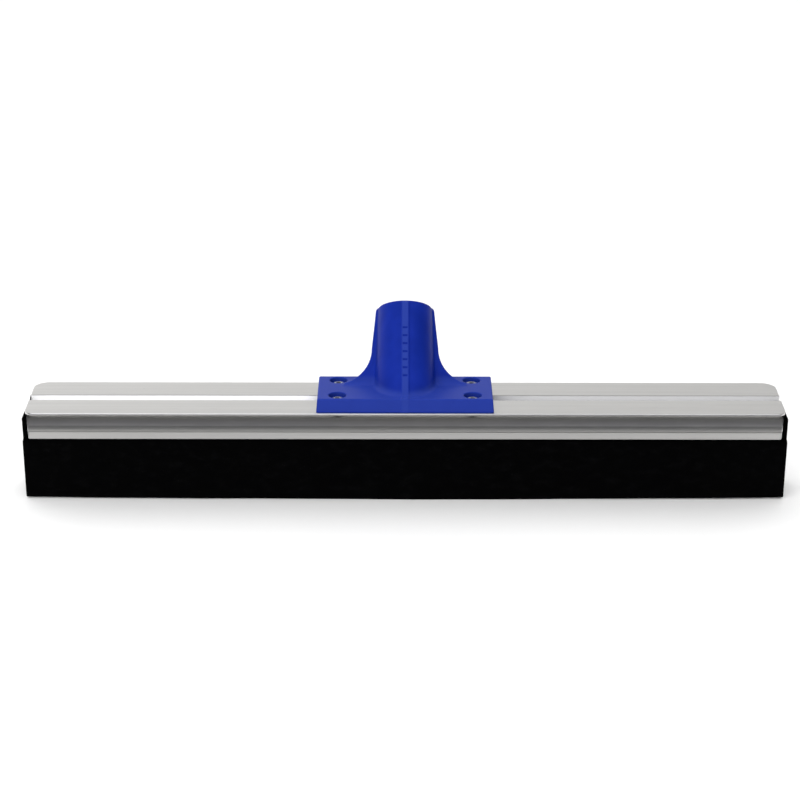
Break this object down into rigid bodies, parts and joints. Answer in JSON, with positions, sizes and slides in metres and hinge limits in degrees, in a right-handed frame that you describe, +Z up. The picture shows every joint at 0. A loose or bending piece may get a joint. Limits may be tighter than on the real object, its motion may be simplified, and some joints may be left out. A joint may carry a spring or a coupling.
{
  "type": "floor squeegee head",
  "caption": "Floor squeegee head: aluminium T extrusion gripping two foam rubber strips, with a riveted plastic pole socket that leans back.",
  "frame": {"origin": "middle of the foot of the whole object's box, at floor level; the extrusion's middle plane stands 13.3 mm ahead of it, at negative Y", "axes": "+X along the blades, +Y to the rear, the way the pole socket leans, +Z up"},
  "size_m": [0.457, 0.0727, 0.1126],
  "materials": {
    "aluminium": "mill finish with fine draw lines along the length",
    "blue_plastic": "moulded, low satin",
    "foam_rubber": "closed cell foam, dull black",
    "rivet_head": "bright domed",
    "mandrel": "dark broken steel"
  },
  "bodies": {
    "head": {"frame_extrusion": "aluminium", "handle_socket": "blue_plastic", "rivet_front_left": "rivet_head", "rivet_front_right": "rivet_head", "rivet_rear_left": "rivet_head", "rivet_rear_right": "rivet_head", "mandrel_front_left": "mandrel", "mandrel_front_right": "mandrel", "mandrel_rear_left": "mandrel", "mandrel_rear_right": "mandrel", "front_blade_root": "foam_rubber", "rear_blade_root": "foam_rubber"},
    "front_strip": {"front_blade": "foam_rubber"},
    "rear_strip": {"rear_blade": "foam_rubber"}
  },
  "joints": [
    {"name": "front_strip_flex", "type": "hinge", "parent": "head", "child": "front_strip", "pos_m": [0, -0.01993, 0.0384], "axis": [1, 0, 0], "range_deg": [-12, 12], "stiffness_Nm_per_rad": 6},
    {"name": "rear_strip_flex", "type": "hinge", "parent": "head", "child": "rear_strip", "pos_m": [0, -0.00673, 0.0384], "axis": [1, 0, 0], "range_deg": [-12, 12], "stiffness_Nm_per_rad": 6}
  ],
  "couplings": [
    {"joint": "rear_strip_flex", "follows": "front_strip_flex", "ratio": 1}
  ]
}
